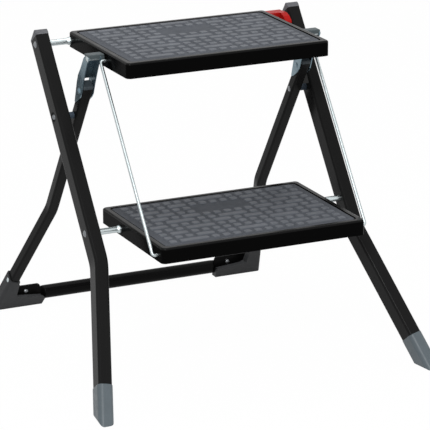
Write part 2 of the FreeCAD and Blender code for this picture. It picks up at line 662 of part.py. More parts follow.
bracket_width = bracket_x3 - bracket_x0
bracket_body = prism([knee_point(n, u) for n, u in BRACKET_REAR + BRACKET_FRONT],
                     side * bracket_width)
tail_level = BRACKET_REAR[0][1] + TAIL_ROUND
bracket_body = round_edges(bracket_body, BRACKET_ROUND,
                           lambda e: runs_along(e, side)
                           and tail_level < (e.CenterOfMass - knee_at).dot(up_rear)
                           < ROUNDED_UP_TO)
bracket_body = round_edges(bracket_body, TAIL_ROUND,
                           lambda e: runs_along(e, side)
                           and (e.CenterOfMass - knee_at).dot(up_rear) < tail_level)
eye = rod(at_x(platform_pin_at, bracket_x0), at_x(platform_pin_at, bracket_x3), BRACKET_EYE)
bracket_body = bracket_body.fuse(eye)
hollow_rear = [(n + BRACKET_SHEET, u) for n, u in BRACKET_REAR[3:6]]
hollow_outline = [(-BRACKET_OVERRUN, BRACKET_REAR[0][1] - BRACKET_OVERRUN),
                  (-BRACKET_OVERRUN, WEB_FOOT),
                  (hollow_rear[0][0], WEB_FOOT)] + hollow_rear
hollow_outline += [(hollow_rear[-1][0] + 2 * BRACKET_SHEET, BRACKET_REAR[-1][1]),
                   (hollow_rear[-1][0] + 2 * BRACKET_SHEET, BRACKET_REAR[-1][1] + BRACKET_OVERRUN),
                   (BRACKET_OVERRUN, BRACKET_REAR[-1][1] + BRACKET_OVERRUN),
                   (BRACKET_OVERRUN, hollow_outline[0][1])]
hollow_points = [at_x(knee_point(n, u), bracket_x1) for n, u in hollow_outline]
bracket_hollow = prism(hollow_points, side * (bracket_x2 - bracket_x1))
knee_bracket = bracket_body.cut(bracket_hollow)
for hole_at in (knee_at, platform_pin_at):
    knee_bracket = knee_bracket.cut(rod(at_x(hole_at, bracket_x0 - FACE_GAP),
                                        at_x(hole_at, bracket_x3 + FACE_GAP), PIN_RADIUS))
save_both("knee_bracket", knee_bracket)

knee_rivet = rod(at_x(knee_at, bracket_x0), at_x(knee_at, bracket_x3), PIN_RADIUS)
knee_rivet = knee_rivet.fuse([
    dome(at_x(knee_at, bracket_x3), side, RIVET_HEAD, RIVET_DOME),
    dome(at_x(knee_at, bracket_x0), -side, SMALL_HEAD, SMALL_DOME)])
save_both("knee_rivet", knee_rivet)
knee_pin = rod(at_x(platform_pin_at, skirt_x + FACE_GAP), at_x(platform_pin_at, bracket_x3),
               PIN_RADIUS)
knee_pin = knee_pin.fuse(dome(at_x(platform_pin_at, bracket_x3), side, SMALL_HEAD, RIVET_DOME))
save_both("knee_pin", knee_pin)

# Caps over the top ends of the brackets
pin_y = platform_pin_at.y
pin_z = platform_pin_at.z
cap_top_z = pin_z + CAP_ABOVE
cap_skin_z = cap_top_z - CAP_SKIN
cover_base_z = cap_top_z - CAP_ROUND
core = box(bracket_x1 + CAP_FIT, bracket_x2 - CAP_FIT, pin_y - CAP_FRONT, pin_y + CAP_REAR,
           pin_z - CAP_BELOW, cover_base_z)
cover = box(skirt_x + FACE_GAP + CAP_FIT, bracket_x3 + CAP_SIDE, pin_y - CAP_FRONT,
            pin_y + CAP_REAR, cap_skin_z, cap_top_z)
cover = round_edges(cover, CAP_ROUND, lambda e: abs(e.BoundBox.ZMin - cap_top_z) < 0.01
                    or runs_along(e, V(0, 0, 1)))
cap = core.common(bracket_hollow)
boss_x0 = skirt_x + FACE_GAP + CAP_FIT
boss_x1 = bracket_x0 - CAP_FIT
boss = rod(at_x(platform_pin_at, boss_x0), at_x(platform_pin_at, boss_x1), BOSS_RADIUS)
post = box(boss_x0, boss_x1, pin_y - CAP_POST_HALF, pin_y + CAP_POST_HALF, pin_z, cover_base_z)
cap = cap.fuse([cover, boss, post]).cut(knee_pin).cut(knee_bracket)
save_both("knee_cap", cap)

# Lock lever round the right sleeve of the top axle
lever_x0 = skirt_x + LEVER_INNER
lever_x1 = front_x0 - LEVER_OUTER
axle_y = top_axle_at.y
axle_z = top_axle_at.z
hub = rod(at_x(top_axle_at, lever_x0 + FLARE_CONE), at_x(top_axle_at, lever_x1), LEVER_HUB)
pad = box(lever_x0, lever_x1, axle_y - PAD_FRONT, axle_y + PAD_REAR,
          axle_z + PAD_BOTTOM, axle_z + PAD_TOP)
pad = round_edges(pad, LEVER_ROUND, lambda e: e.BoundBox.ZMax > axle_z + PAD_BOTTOM + 0.1)
lever_arm = prism([V(lever_x1 - ARM_WIDTH, axle_y - y, axle_z + z) for y, z in LEVER_PROFILE],
                  side * ARM_WIDTH)
lever_arm = round_edges(lever_arm, LEVER_ROUND, lambda e: runs_along(e, side)
                        and e.CenterOfMass.y < axle_y - ARM_WIDTH)
lever = hub.fuse([pad, lever_arm])
lever = lever.cut(rod(at_x(top_axle_at, skirt_x), at_x(top_axle_at, front_x0),
                      FLARE_RADIUS + LEVER_BORE_GAP)
                  .common(box(skirt_x, lever_x0 + FLARE_CONE, axle_y - LEVER_HUB,
                              axle_y + LEVER_HUB, axle_z - LEVER_HUB, axle_z + LEVER_HUB)))
lever = lever.cut(rod(at_x(top_axle_at, skirt_x), at_x(top_axle_at, front_x0),
                      SLEEVE_RADIUS + LEVER_BORE_GAP))
save("lock_lever", lever)

# Stop peg on the inner face of the right front leg, under the lever's arm
stop_at = top_axle_at + front_normal * STOP_FORWARD + down_front * STOP_DOWN
save("lever_stop", rod(at_x(stop_at, front_x0 - STOP_LENGTH), at_x(stop_at, front_x0), STOP_RADIUS))
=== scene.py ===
# %% [markdown]
# A folding step stool, dressed for a studio picture
#
# The stool comes as solid parts at their real size: bent tube legs, pressed trays, wire links, plugs
# and shoes. This script gives them their finishes, adds the ribbed mats, and sets the light and the
# camera. Every length is in metres, with the floor at Z = 0 and the lower step towards -Y.

# %% Load the solid parts
import math

import bmesh
import bpy
from mathutils import Matrix, Vector


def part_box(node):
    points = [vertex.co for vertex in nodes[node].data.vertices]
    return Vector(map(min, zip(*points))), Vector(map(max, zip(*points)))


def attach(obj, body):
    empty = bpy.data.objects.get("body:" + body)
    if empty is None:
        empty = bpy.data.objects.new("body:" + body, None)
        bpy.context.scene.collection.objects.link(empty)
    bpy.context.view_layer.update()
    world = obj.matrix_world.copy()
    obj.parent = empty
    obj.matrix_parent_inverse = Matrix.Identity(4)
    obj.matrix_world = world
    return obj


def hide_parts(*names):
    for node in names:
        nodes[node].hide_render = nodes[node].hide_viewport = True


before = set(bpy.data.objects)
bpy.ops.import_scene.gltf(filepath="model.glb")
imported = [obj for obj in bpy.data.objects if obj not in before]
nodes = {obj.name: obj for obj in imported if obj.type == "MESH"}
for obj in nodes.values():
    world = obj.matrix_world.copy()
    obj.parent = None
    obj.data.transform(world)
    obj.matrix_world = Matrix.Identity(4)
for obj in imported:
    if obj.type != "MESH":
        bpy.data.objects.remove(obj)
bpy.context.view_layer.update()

# %% [markdown]
# Where the mats lie
#
# On the real stool a ribbed mat lies in a shallow recess of each tread. Its place could be typed in
# as numbers, but then it would stay behind if a tread changed. The plain mats among the solids have
# it already, so their boxes are measured. MM turns the sizes of a maker's drawing into metres.

# %% Measure the mats
MM = 0.001

mat_boxes = {name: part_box(name) for name in ("platform_mat", "step_mat")}
for name, (low, high) in mat_boxes.items():
    print(name, "lies from", [round(c, 4) for c in low], "to", [round(c, 4) for c in high])

# %% [markdown]
# Camera
#
# The picture is taken from the front and a little to the left, from a few steps away with a long
# lens, so that upright edges stay nearly parallel. A camera can be placed by its coordinates, but two
# angles and a distance from a point on the stool are easier to set, because each of them changes one
# thing in the picture. The roll is a very slight turn about the line of sight.

# %% Set up the camera
CAMERA_AZIMUTH = math.radians(-25.0)
CAMERA_ELEVATION = math.radians(17.28)
CAMERA_ROLL = math.radians(-0.16)
CAMERA_DISTANCE = 4.109
CAMERA_TARGET = Vector((0.0305, -0.0063, 0.1915))
SENSOR_MM = 36.0
LENS_MM = 231.66
FARTHEST_SEEN = 100.0


def make_camera():
    back = Vector((math.sin(CAMERA_AZIMUTH) * math.cos(CAMERA_ELEVATION),
                   -math.cos(CAMERA_AZIMUTH) * math.cos(CAMERA_ELEVATION),
                   math.sin(CAMERA_ELEVATION)))
    data = bpy.data.cameras.new("studio_camera")
    data.sensor_width = SENSOR_MM
    data.lens = LENS_MM
    data.clip_end = FARTHEST_SEEN
    camera = bpy.data.objects.new("studio_camera", data)
    bpy.context.scene.collection.objects.link(camera)
    upright = back.to_track_quat("Z", "Y").to_matrix().to_4x4()
    camera.matrix_world = (Matrix.Translation(CAMERA_TARGET + back * CAMERA_DISTANCE)
                           @ upright @ Matrix.Rotation(CAMERA_ROLL, 4, "Z"))
    bpy.context.scene.camera = camera
    return camera


camera = make_camera()
print("camera at", [round(c, 3) for c in camera.location])

# %% [markdown]
# A bare finish
#
# Everything on the stool is enamel, bare or plated steel, moulded plastic or a rubber-like sheet. One
# Principled shader can be each of them, told apart by colour, roughness, metallic and specular. What
# is the same all over a piece is set on the shader's own sockets, because an exported model keeps
# it only there.


# %% Helper for a bare finish
def new_finish(name, colour, roughness, metallic=0.0, specular=0.5):
    material = bpy.data.materials.new(name)
    material.use_nodes = True
    tree = material.node_tree
    shader = tree.nodes["Principled BSDF"]
    shader.inputs["Base Color"].default_value = (*colour, 1)
    shader.inputs["Roughness"].default_value = roughness
    shader.inputs["Metallic"].default_value = metallic
    shader.inputs["Specular IOR Level"].default_value = specular
    return material, tree, shader


print("helper for bare finishes ready")

# %% [markdown]
# Grain
#
# No baked or moulded surface is quite smooth: enamel flows a little, like the peel of an orange, and
# a mould leaves a fine grain. Relief of a few hundredths of a millimetre would need a mesh of
# millions of faces, so noise goes through a Bump node. The noise reads Object coordinates, which are
# real metres here, so the grain has its real size on every piece.

# %% Helpers for grain
NOISE_DETAIL = 2.0


def noise_on_object(tree, scale, detail=NOISE_DETAIL):
    """Noise on the piece's own coordinates; scale is in features per metre."""
    place = tree.nodes.new("ShaderNodeTexCoord")
    noise = tree.nodes.new("ShaderNodeTexNoise")
    noise.inputs["Scale"].default_value = scale
    noise.inputs["Detail"].default_value = detail
    tree.links.new(place.outputs["Object"], noise.inputs["Vector"])
    return noise.outputs["Fac"]


def add_grain(tree, shader, scale, depth):
    """Fine bump: depth is the height of the grain in metres."""
    bump = tree.nodes.new("ShaderNodeBump")
    bump.inputs["Strength"].default_value = 1.0
    bump.inputs["Distance"].default_value = depth
    tree.links.new(noise_on_object(tree, scale), bump.inputs["Height"])
    tree.links.new(bump.outputs["Normal"], shader.inputs["Normal"])


print("helpers for grain ready")

# %% [markdown]
# Uneven gloss and colour
#
# Hands, shoes and plating baths leave a surface a little glossier here and a little paler there. A
# painted image could hold that, but it would need an unwrapped mesh. Slow noise does it on any shape:
# one helper maps it onto a range of roughness, another one onto a ramp between two colours.

# %% Helpers for uneven gloss and colour
NOISE_LOW = 0.3
NOISE_HIGH = 0.7
RAMP_LOW = 0.35
RAMP_HIGH = 0.65
CLOUD_DETAIL = 3.0


def vary_roughness(tree, shader, scale, low, high):
    gloss = tree.nodes.new("ShaderNodeMapRange")
    gloss.inputs["From Min"].default_value = NOISE_LOW
    gloss.inputs["From Max"].default_value = NOISE_HIGH
    gloss.inputs["To Min"].default_value = low
    gloss.inputs["To Max"].default_value = high
    tree.links.new(noise_on_object(tree, scale), gloss.inputs["Value"])
    tree.links.new(gloss.outputs["Result"], shader.inputs["Roughness"])


def vary_colour(tree, shader, scale, dark, light):
    ramp = tree.nodes.new("ShaderNodeValToRGB")
    first, last = ramp.color_ramp.elements
    first.position = RAMP_LOW
    first.color = (*dark, 1)
    last.position = RAMP_HIGH
    last.color = (*light, 1)
    tree.links.new(noise_on_object(tree, scale, CLOUD_DETAIL), ramp.inputs["Fac"])
    tree.links.new(ramp.outputs["Color"], shader.inputs["Base Color"])


print("helpers for gloss and colour ready")

# %% [markdown]
# Black paint
#
# The trays have a thick, glossy baked enamel, which is nearly pure black, and the rims get a paler,
# glossier copy of it as a painted sheen. The legs and the crossbar have thinner paint. All are the
# same finish with other numbers, so one function makes them. Their specular level is low: the stool
# stands in a white room, and black paint at full level would mirror so much of it that it turned
# grey.

# %% Make the black paints
PEEL_PER_METRE = 420
PAINT_PATCHES_PER_METRE = 35


def enamel(name, colour, smoothest, roughest, peel, specular):
    material, tree, shader = new_finish(name, colour, smoothest, specular=specular)
    add_grain(tree, shader, PEEL_PER_METRE, peel)
    vary_roughness(tree, shader, PAINT_PATCHES_PER_METRE, smoothest, roughest)
    return material


tray_enamel = enamel("tray_enamel", (0.002, 0.002, 0.002),
                     smoothest=0.16, roughest=0.24, peel=0.02 * MM, specular=0.010)
# A paler, glossier copy of the tray enamel: painted sheen for the rims.
rim_painted_sheen = enamel("rim_painted_sheen", (0.005, 0.005, 0.005),
                    smoothest=0.20, roughest=0.28, peel=0.02 * MM, specular=0.065)
leg_paint = enamel("leg_paint", (0.011, 0.011, 0.011),
                   smoothest=0.18, roughest=0.24, peel=0.01 * MM, specular=0.035)
bar_paint = enamel("bar_paint", (0.003, 0.003, 0.003),
                   smoothest=0.26, roughest=0.36, peel=0.02 * MM, specular=0.05)
print("paints:", [m.name for m in (tray_enamel, rim_painted_sheen, leg_paint, bar_paint)])

# %% [markdown]
# Zinc plate
#
# Sleeves, wire links and brackets are plated: bright, a bit blue, and cloudy where the zinc is
# thicker. The axles and pivots look darker, and the knee brackets bluer. A metal takes its colour
# from the base colour. Its specular tint sets how white its edges turn. On the bright and wire zinc a
# dark tint paints shade along the edges, as if darker surroundings were mirrored there, and keeps the
# thin wires and sleeves from melting into the white surround.

# %% Make the zinc finishes
ZINC_GRAIN_PER_METRE = 1500
ZINC_GRAIN = 0.02 * MM
ZINC_CLOUDS_PER_METRE = 60
ZINC_PATCHES_PER_METRE = 90


def zinc_plating(name, dark, light, smoothest, roughest, metallic=1.0, edge=1.0):
    material, tree, shader = new_finish(name, light, smoothest, metallic=metallic)
    # A low edge value darkens the grazing edges: painted shade, as if darker surroundings were
    # mirrored.
    shader.inputs["Specular Tint"].default_value = (edge, edge, edge, 1)
    add_grain(tree, shader, ZINC_GRAIN_PER_METRE, ZINC_GRAIN)
    vary_colour(tree, shader, ZINC_CLOUDS_PER_METRE, dark, light)
    vary_roughness(tree, shader, ZINC_PATCHES_PER_METRE, smoothest, roughest)
    return material


# The low edge tints below paint shade on the edges of sleeves, clips and wires.
bright_zinc = zinc_plating("bright_zinc", (0.50, 0.56, 0.57), (0.57, 0.63, 0.64),
                           smoothest=0.28, roughest=0.36, edge=0.1)
wire_zinc = zinc_plating("wire_zinc", (0.42, 0.47, 0.48), (0.50, 0.55, 0.56),
                         smoothest=0.30, roughest=0.38, edge=0.05)
dull_zinc = zinc_plating("dull_zinc", (0.17, 0.18, 0.19), (0.23, 0.24, 0.25),
                         smoothest=0.34, roughest=0.42)
blue_zinc = zinc_plating("blue_zinc", (0.13, 0.19, 0.23), (0.20, 0.28, 0.32),
                         smoothest=0.26, roughest=0.34, metallic=0.8)
print("zinc:", [m.name for m in (bright_zinc, wire_zinc, dull_zinc, blue_zinc)])

# %% [markdown]
# Plastic and rubber
#
# The feet, shoes, plugs, spacers and caps are moulded in greys and blue greys with a fine grain. The
# lever is red. The mats are a soft grey sheet; their ground is painted a little darker than the lugs,
# as painted shade between the lugs. One flat colour would look like a toy, so noise takes each colour
# a shade up and down.

# %% Make the plastic and rubber finishes
MOULD_GRAIN_PER_METRE = 2200
MOULD_CLOUDS_PER_METRE = 25
MOULD_PATCHES_PER_METRE = 120
PALER = 1.08
DARKER = 0.94
GLOSS_SPREAD = 0.06


def moulded(name, colour, roughness, grain, specular):
    material, tree, shader = new_finish(name, colour, roughness, specular=specular)
    add_grain(tree, shader, MOULD_GRAIN_PER_METRE, grain)
    paler = tuple(c * PALER for c in colour)
    darker = tuple(c * DARKER for c in colour)
    vary_colour(tree, shader, MOULD_CLOUDS_PER_METRE, darker, paler)
    vary_roughness(tree, shader, MOULD_PATCHES_PER_METRE,
                   roughness - GLOSS_SPREAD, roughness + GLOSS_SPREAD)
    return material


foot_plastic = moulded("foot_plastic", (0.088, 0.108, 0.121),
                       roughness=0.40, grain=0.04 * MM, specular=0.30)
shoe_plastic = moulded("shoe_plastic", (0.040, 0.041, 0.043),
                       roughness=0.50, grain=0.05 * MM, specular=0.08)
spacer_plastic = moulded("spacer_plastic", (0.042, 0.058, 0.078),
                         roughness=0.45, grain=0.04 * MM, specular=0.15)
plug_plastic = moulded("plug_plastic", (0.100, 0.102, 0.111),
                       roughness=0.45, grain=0.04 * MM, specular=0.20)
dome_plastic = moulded("dome_plastic", (0.040, 0.050, 0.057),
                       roughness=0.45, grain=0.04 * MM, specular=0.15)
cap_plastic = moulded("cap_plastic", (0.066, 0.082, 0.088),
                      roughness=0.45, grain=0.04 * MM, specular=0.15)
lever_plastic = moulded("lever_plastic", (0.345, 0.006, 0.005),
                        roughness=0.36, grain=0.02 * MM, specular=0.10)
mat_rubber = moulded("mat_rubber", (0.108, 0.116, 0.132),
                     roughness=0.50, grain=0.06 * MM, specular=0.12)
# The same rubber made darker: painted shade for the ground between the lugs.
mat_ground_painted_shade = moulded("mat_ground_painted_shade", (0.073, 0.079, 0.091),
                     roughness=0.65, grain=0.06 * MM, specular=0.08)
print("plastic and rubber:", [m.name for m in (foot_plastic, shoe_plastic, spacer_plastic,
                                               plug_plastic, dome_plastic, cap_plastic,
                                               lever_plastic, mat_rubber, mat_ground_painted_shade)])

# %% [markdown]
# Which solid has which finish
#
# Each solid has the plain name of its piece, often with left or right at the end, so the start of a
# name tells the finish. A dictionary keeps this in one place that is easy to read. The longer names
# come first, because a front_leg_plug starts like a front_leg. Whatever isn't listed is small plated
# hardware: sleeves, clips, rivets and a stop peg.

# %% Match finishes to solids
FINISH_OF = {
    "front_leg_plug": plug_plastic,
    "rear_leg_plug": dome_plastic,
    "knee_cap": cap_plastic,
    "front_foot": foot_plastic,
    "rear_shoe": shoe_plastic,
    "front_leg": leg_paint,
    "rear_leg": leg_paint,
    "rear_crossbar": bar_paint,
    "platform_tray": tray_enamel,
    "platform_brace": tray_enamel,
    "step_tray": tray_enamel,
    "step_brace": tray_enamel,
    "platform_mat": mat_rubber,
    "step_mat": mat_rubber,
    "knee_bracket": blue_zinc,
    "knee_rivet": blue_zinc,
    "knee_pin": wire_zinc,
    "link_rod": wire_zinc,
    "pivot_spacer": spacer_plastic,
    "pivot_pin": dull_zinc,
    "top_axle": dull_zinc,
    "lower_axle": dull_zinc,
    "heel_rivet": dull_zinc,
    "lock_lever": lever_plastic,
}


def finish_for(node_name):
    for start, finish in FINISH_OF.items():
        if node_name.startswith(start):
            return finish
    return bright_zinc


small_hardware = [name for name in nodes if finish_for(name) is bright_zinc]
print("bright zinc:", small_hardware)

# %% [markdown]
# Smooth shading for the solids
#
# The solids come as loose triangles. On a painted tube that would show every facet, and smoothing
# them all would smear the corners. So three modifiers finish each one: Weld joins the triangles, Edge
# Split keeps the corners sharper than a set angle, and Weighted Normal lets the large faces stay flat
# while the rounded edges shade smoothly. The corners of the mesh stay where they are.

# %% Dress the solids
SHARP_ANGLE = math.radians(32)
WELD_REACH = 0.002 * MM


def dress(solid, finish):
    solid.data.materials.clear()
    solid.data.materials.append(finish)
    solid.data.polygons.foreach_set("use_smooth", [True] * len(solid.data.polygons))
    weld = solid.modifiers.new("join_triangles", "WELD")
    weld.merge_threshold = WELD_REACH
    split = solid.modifiers.new("keep_corners", "EDGE_SPLIT")
    split.split_angle = SHARP_ANGLE
    weighted = solid.modifiers.new("flat_faces", "WEIGHTED_NORMAL")
    weighted.keep_sharp = True


for node_name, solid in nodes.items():
    dress(solid, finish_for(node_name))
print("dressed", len(nodes), "solids")

# %% [markdown]
# Painted sheen on the rims of the trays
#
# The rim of a tray catches the lamps and looks paler than its skirts. It is one sheet of steel with
# the rest, so it gets no piece of its own, but a second material on some of the faces: a paler,
# glossier copy of the enamel, which paints that sheen on. The rim is told from the rest by where its
# faces lie: turned upward, near the border and near the top.

# %% Paint a sheen on the rims
RIM_BAND = 8.6 * MM
RIM_DEPTH = 4.3 * MM
RIM_TILT = 0.2


def paint_rim_sheen(name):
    tray = nodes[name]
    low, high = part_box(name)
    # The upward faces near the top take the paler enamel, a painted sheen.
    tray.data.materials.append(rim_painted_sheen)
    painted = 0
    for face in tray.data.polygons:
        x, y, z = face.center
        to_border = min(x - low.x, high.x - x, y - low.y, high.y - y)
        if face.normal.z > RIM_TILT and to_border < RIM_BAND and high.z - z < RIM_DEPTH:
            face.material_index = 1
            painted += 1
    print(name, "has", painted, "rim triangles")


for name in ("platform_tray", "step_tray"):
    paint_rim_sheen(name)

# %% [markdown]
# The pattern of a ribbed mat
#
# Each mat is a thin sheet with raised lugs in rows: short ones, and some that run on over two or
# three places, the same left and right. The long ones lie elsewhere in each row, so the eye finds no
# stripes along the tread. A patch near the back edge stays flat. The pattern is easiest to read and
# to change as one text per row, so a small function turns the texts into places.

# %% Lay out the lugs
LUG_PITCH_X = 16.5 * MM
LUG_PITCH_Y = 17.0 * MM

# One text per row from the back edge: how many places each lug covers, x for a bare place
LUG_ROWS = ("1211113111121", "111121111121111", "3111xxxxx1113", "11211xxxxx11211",
            "1212111112121", "11311311311", "2111121211112", "1113111113111",
            "121111111111121", "1112113112111", "1311111111131")


def lug_places(rows):
    """Middle of each lug across and along the mat, and how many places it covers."""
    places = []
    for row, text in enumerate(rows):
        cells = sum(1 if mark == "x" else int(mark) for mark in text)
        start = -cells / 2
        along = ((len(rows) - 1) / 2 - row) * LUG_PITCH_Y
        for mark in text:
            span = 1 if mark == "x" else int(mark)
            if mark != "x":
                places.append(((start + span / 2) * LUG_PITCH_X, along, span))
            start += span
    return places


places = lug_places(LUG_ROWS)
print(len(places), "lugs on a mat, the outermost is", round(max(p[0] for p in places), 4),
      "from the middle")

# %% [markdown]
# The shape of one lug
#
# A lug is a low block with rounded corners, a little narrower at the top than at its foot, so that it
# leaves its mould. It is drawn as two rounded outlines, one at the foot and one at the crown, and the
# convex hull of both is the lug. Each outline is as long as its places, less the gap to the next lug.


# %% Nodes for one outline of a lug
LUG_CORNER_STEPS = 3


def add_math(tree, operation):
    node = tree.nodes.new("ShaderNodeMath")
    node.operation = operation
    return node


def lug_outline(tree, group_in, span, crown):
    """A rounded rectangle for a lug of that many places, at its foot or at its crown."""
    length = add_math(tree, "MULTIPLY_ADD")
    length.inputs[0].default_value = span
    tree.links.new(group_in.outputs["Pitch"], length.inputs[1])
    inset = add_math(tree, "MULTIPLY_ADD")
    inset.inputs[1].default_value = -2 if crown else 0
    inset.inputs[2].default_value = 0
    tree.links.new(group_in.outputs["Slope"], inset.inputs[0])
    less_gap = add_math(tree, "SUBTRACT")
    tree.links.new(inset.outputs[0], less_gap.inputs[0])
    tree.links.new(group_in.outputs["Gap"], less_gap.inputs[1])
    tree.links.new(less_gap.outputs[0], length.inputs[2])
    depth = add_math(tree, "ADD")
    tree.links.new(group_in.outputs["Depth"], depth.inputs[0])
    tree.links.new(inset.outputs[0], depth.inputs[1])
    outline = tree.nodes.new("GeometryNodeCurvePrimitiveQuadrilateral")
    tree.links.new(length.outputs[0], outline.inputs["Width"])
    tree.links.new(depth.outputs[0], outline.inputs["Height"])
    rounded = tree.nodes.new("GeometryNodeFilletCurve")
    rounded.mode = "POLY"
    rounded.inputs["Count"].default_value = LUG_CORNER_STEPS
    tree.links.new(outline.outputs["Curve"], rounded.inputs["Curve"])
    tree.links.new(group_in.outputs["Corner"], rounded.inputs["Radius"])
    up = tree.nodes.new("ShaderNodeCombineXYZ")
    if crown:
        tree.links.new(group_in.outputs["Height"], up.inputs["Z"])
    move = tree.nodes.new("GeometryNodeSetPosition")
    tree.links.new(rounded.outputs["Curve"], move.inputs["Geometry"])
    tree.links.new(up.outputs["Vector"], move.inputs["Offset"])
    return move.outputs["Geometry"]


print("nodes for an outline ready")

# %% [markdown]
# Setting the lugs down
#
# There are well over a hundred lugs on a mat, of three lengths. They could be copied one by one, but
# Geometry Nodes set them down in one go: the tree makes the three lugs, Instance on Points picks one
# for each place by its kind, Realize Instances makes them real faces, and Set Material paints them.
# The sizes are inputs of the tree, so the same tree serves both mats.


# %% The node tree that sets the lugs
def add_lug_shapes(tree, group_in):
    """The three lugs, the longest first, because the last one joined becomes number 0."""
    shapes = tree.nodes.new("GeometryNodeGeometryToInstance")
    for span in (3, 2, 1):
        both = tree.nodes.new("GeometryNodeJoinGeometry")
        for crown in (False, True):
            tree.links.new(lug_outline(tree, group_in, span, crown), both.inputs["Geometry"])
        hull = tree.nodes.new("GeometryNodeConvexHull")
        tree.links.new(both.outputs["Geometry"], hull.inputs["Geometry"])
        tree.links.new(hull.outputs["Convex Hull"], shapes.inputs["Geometry"])
    return shapes.outputs["Instances"]


def lug_tree(finish):
    tree = bpy.data.node_groups.new("mat_lugs", "GeometryNodeTree")
    tree.interface.new_socket("Places", in_out="INPUT", socket_type="NodeSocketGeometry")
    for name in ("Pitch", "Gap", "Depth", "Height", "Corner", "Slope"):
        tree.interface.new_socket(name, in_out="INPUT", socket_type="NodeSocketFloat")
    tree.interface.new_socket("Lugs", in_out="OUTPUT", socket_type="NodeSocketGeometry")
    group_in = tree.nodes.new("NodeGroupInput")
    group_out = tree.nodes.new("NodeGroupOutput")
    kind_of = tree.nodes.new("GeometryNodeInputNamedAttribute")
    kind_of.data_type = "INT"
    kind_of.inputs["Name"].default_value = "kind"
    set_down = tree.nodes.new("GeometryNodeInstanceOnPoints")
    set_down.inputs["Pick Instance"].default_value = True
    tree.links.new(group_in.outputs["Places"], set_down.inputs["Points"])
    tree.links.new(add_lug_shapes(tree, group_in), set_down.inputs["Instance"])
    tree.links.new(kind_of.outputs["Attribute"], set_down.inputs["Instance Index"])
    realize = tree.nodes.new("GeometryNodeRealizeInstances")
    tree.links.new(set_down.outputs["Instances"], realize.inputs["Geometry"])
    paint = tree.nodes.new("GeometryNodeSetMaterial")
    paint.inputs["Material"].default_value = finish
    tree.links.new(realize.outputs["Geometry"], paint.inputs["Geometry"])
    tree.links.new(paint.outputs["Geometry"], group_out.inputs["Lugs"])
    return tree


lugs = lug_tree(mat_rubber)
print("lug tree has", len(lugs.nodes), "nodes")

# %% [markdown]
# From the tree to a plain mesh
#
# A tree works on an object that carries it, here one point for each lug with its kind as an
# attribute. Instances would be lost when the stool is exported, so the finished shape is read from
# the evaluated object as a plain mesh, and the carrier is removed again. The sizes go in by each
# socket's identifier, since two sockets may share a name.

# %% Grow the lugs of a mat
LUG_GAP = 4.5 * MM
LUG_DEPTH = 11.5 * MM
LUG_HEIGHT = 1.5 * MM
LUG_SUNK = 0.3 * MM
LUG_CORNER = 3.2 * MM
LUG_SLOPE = 0.7 * MM

LUG_SIZES = {"Pitch": LUG_PITCH_X, "Gap": LUG_GAP, "Depth": LUG_DEPTH,
             "Height": LUG_HEIGHT + LUG_SUNK, "Corner": LUG_CORNER, "Slope": LUG_SLOPE}


def plain_object(name, mesh):
    piece = bpy.data.objects.new(name, mesh)
    bpy.context.scene.collection.objects.link(piece)
    return piece


def grow_lugs(name, centre, foot_height):
    """The lugs of one mat as a plain mesh, standing on foot_height round the mat's centre."""
    points = bpy.data.meshes.new(name + "_places")
    points.from_pydata([(centre.x + x, centre.y + y, foot_height) for x, y, span in places],
                       [], [])
    kind = points.attributes.new("kind", "INT", "POINT")
    kind.data.foreach_set("value", [span - 1 for x, y, span in places])
    carrier = plain_object(name + "_carrier", points)
    grower = carrier.modifiers.new("lugs", "NODES")
    grower.node_group = lugs
    for socket in lugs.interface.items_tree:
        if socket.item_type == "SOCKET" and socket.name in LUG_SIZES:
            grower[socket.identifier] = LUG_SIZES[socket.name]
    carrier.update_tag()
    evaluated = carrier.evaluated_get(bpy.context.evaluated_depsgraph_get())
    mesh = bpy.data.meshes.new_from_object(evaluated)
    bpy.data.objects.remove(carrier)
    return mesh


print("a lug stands", round(LUG_HEIGHT / MM, 2), "mm proud of the sheet")

# %% [markdown]
# The sheet under the lugs
#
# The sheet is one flat plate with rounded corners and a small round along its upper edge, where light
# catches it. A cube with a Bevel modifier would round all its edges alike, so bmesh draws the outline
# once, pulls it up and bevels only the upper edge.

# %% Make a rounded sheet
SHEET_CORNER = 6 * MM
SHEET_ROUND = 0.5 * MM
CORNER_STEPS = 8
EDGE_STEPS = 2
SAME_HEIGHT = 1e-9


def sheet_outline(low, high):
    """Points round a rectangle with rounded corners, against the clock from the right edge."""
    outline = []
    for turn, x, y in ((0, high.x, high.y), (1, low.x, high.y),
                       (2, low.x, low.y), (3, high.x, low.y)):
        centre_x = x - SHEET_CORNER if x == high.x else x + SHEET_CORNER
        centre_y = y - SHEET_CORNER if y == high.y else y + SHEET_CORNER
        for step in range(CORNER_STEPS + 1):
            angle = math.radians(90 * (turn + step / CORNER_STEPS))
            outline.append((centre_x + SHEET_CORNER * math.cos(angle),
                            centre_y + SHEET_CORNER * math.sin(angle)))
    return outline


def rounded_sheet(name, low, high):
    """A flat sheet between two corners, with rounded corners and a rounded upper edge."""
    shape = bmesh.new()
    bottom = [shape.verts.new((x, y, low.z)) for x, y in sheet_outline(low, high)]
    face = shape.faces.new(bottom)
    lifted = bmesh.ops.extrude_face_region(shape, geom=[face])
    top = [part for part in lifted["geom"] if isinstance(part, bmesh.types.BMVert)]
    bmesh.ops.translate(shape, verts=top, vec=(0, 0, high.z - low.z))
    upper_edge = [edge for edge in shape.edges
                  if all(abs(end.co.z - high.z) < SAME_HEIGHT for end in edge.verts)]
    bmesh.ops.bevel(shape, geom=upper_edge, offset=SHEET_ROUND, segments=EDGE_STEPS,
                    profile=0.5, affect="EDGES")
    bmesh.ops.recalc_face_normals(shape, faces=shape.faces)
    mesh = bpy.data.meshes.new(name)
    shape.to_mesh(mesh)
    shape.free()
    print(name, "sheet has", len(upper_edge), "rounded edges")
    return mesh


print("helper for the sheet ready")

